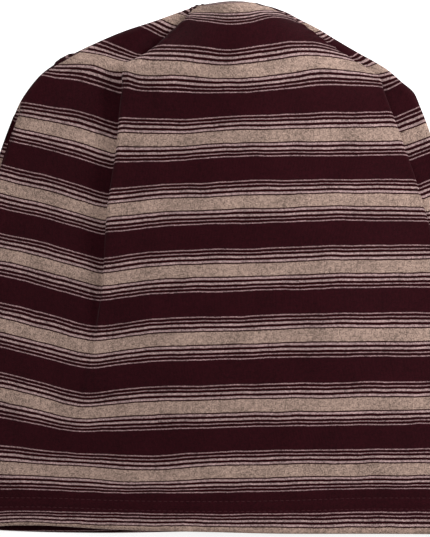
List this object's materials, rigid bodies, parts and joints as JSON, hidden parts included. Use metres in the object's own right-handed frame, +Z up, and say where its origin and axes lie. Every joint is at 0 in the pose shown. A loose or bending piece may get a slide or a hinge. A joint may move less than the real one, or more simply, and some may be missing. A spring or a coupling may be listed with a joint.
{
  "type": "slouchy beanie",
  "caption": "Soft slouchy beanie of striped jersey lying flat on its back, one tube of cloth with a darted crown, open at a turned and stitched hem.",
  "frame": {"origin": "middle of the hat's outline, on the surface that it lies on", "axes": "+X to the wearer's left across the hat, +Y from the rim to the crown, +Z up out of the front of the hat"},
  "size_m": [0.258, 0.2814, 0.0369],
  "materials": {
    "striped_jersey": "matte fine jersey, burgundy and heather beige stripes between thin lines",
    "stitch_thread": "dull burgundy sewing thread"
  },
  "bodies": {
    "root": {"knit_body": "striped_jersey", "turned_hem": "striped_jersey"}
  },
  "joints": []
}
